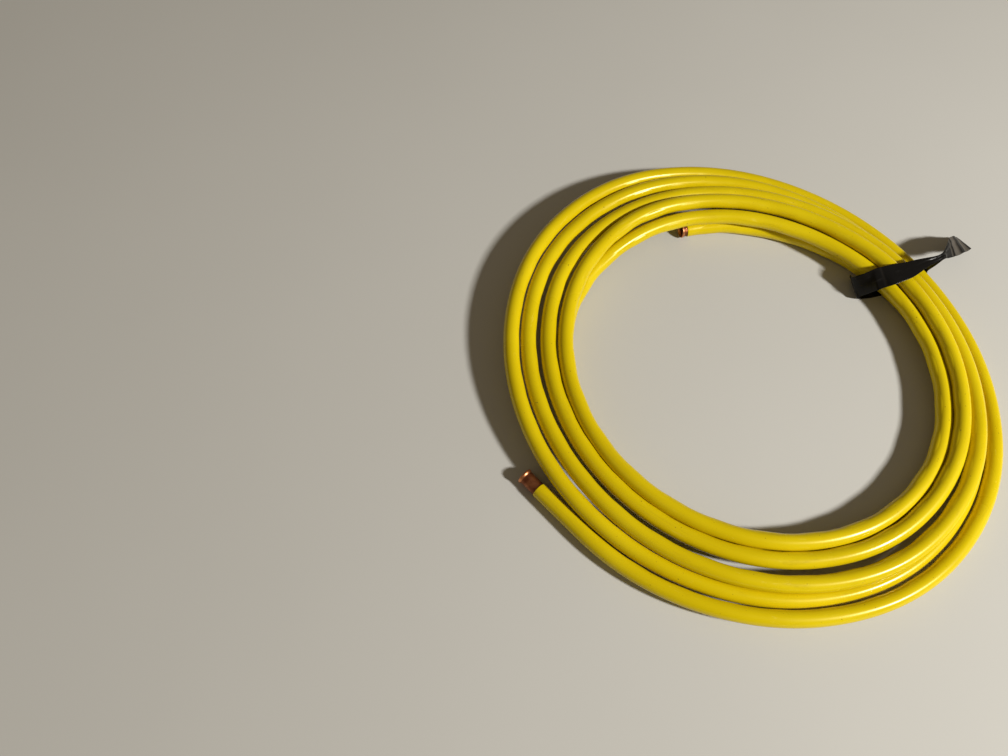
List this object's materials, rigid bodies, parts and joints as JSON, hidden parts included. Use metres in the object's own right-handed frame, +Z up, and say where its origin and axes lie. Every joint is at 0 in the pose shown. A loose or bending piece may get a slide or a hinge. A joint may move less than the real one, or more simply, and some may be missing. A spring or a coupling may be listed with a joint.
{
  "type": "plastic-coated copper tube coil",
  "caption": "Loose oval coil of soft copper tube in a yellow plastic coat, both bare ends showing, tied at one place with a strip of black tape.",
  "frame": {"origin": "on the floor at the middle of the coil's eye", "axes": "+Z up, square to the flat coil; seen from above +Y is twelve o'clock and +X three o'clock, with the tape near two and the longer bare end near eight"},
  "size_m": [0.475, 0.4608, 0.04],
  "materials": {
    "copper": "satin, slightly dulled, darker at the cut ends",
    "coating": "soft gloss, lightly scuffed",
    "tape": "soft gloss, creased"
  },
  "bodies": {
    "root": {"copper_tube": "copper", "yellow_jacket": "coating", "tape_tie": "tape"}
  },
  "joints": []
}
